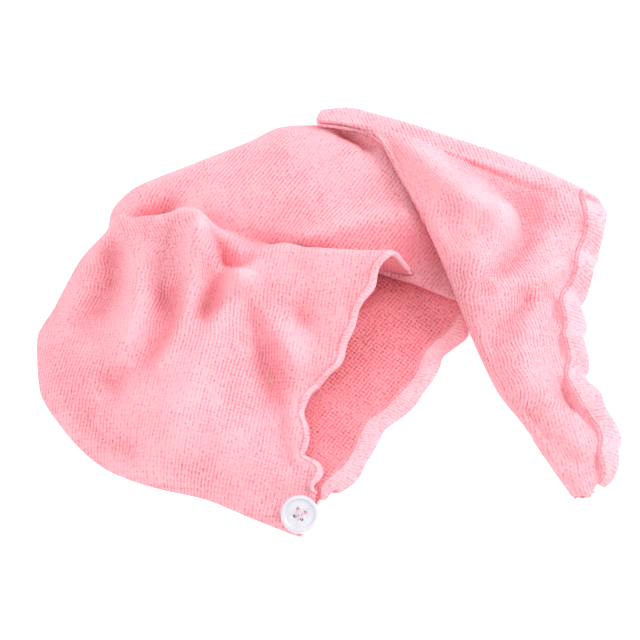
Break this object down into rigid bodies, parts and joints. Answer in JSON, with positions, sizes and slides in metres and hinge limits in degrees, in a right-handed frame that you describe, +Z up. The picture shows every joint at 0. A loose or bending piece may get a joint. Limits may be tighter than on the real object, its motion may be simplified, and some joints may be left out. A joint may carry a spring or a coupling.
{
  "type": "hair turban towel",
  "caption": "Crumpled hair turban towel of waffle cloth, its pointed tail folded back over the hood, with a round button at the nape.",
  "frame": {"origin": "middle of the bounding box on the surface that the towel lies on", "axes": "+X to the right of the picture across the longest extent, +Y away from the viewer from the nape to the crease, +Z up through the thickness"},
  "size_m": [0.397, 0.3166, 0.0684],
  "materials": {
    "towel": "soft waffle weave",
    "hem": "stitched, soft",
    "button": "glossy",
    "thread": "matt twisted thread",
    "elastic": "matt covered elastic"
  },
  "bodies": {
    "root": {"top_panel": "towel", "bottom_panel": "towel", "top_hem": "hem", "bottom_hem": "hem", "front_seam": "hem", "button": "button", "button_thread": "thread", "elastic_loop": "elastic"}
  },
  "joints": []
}
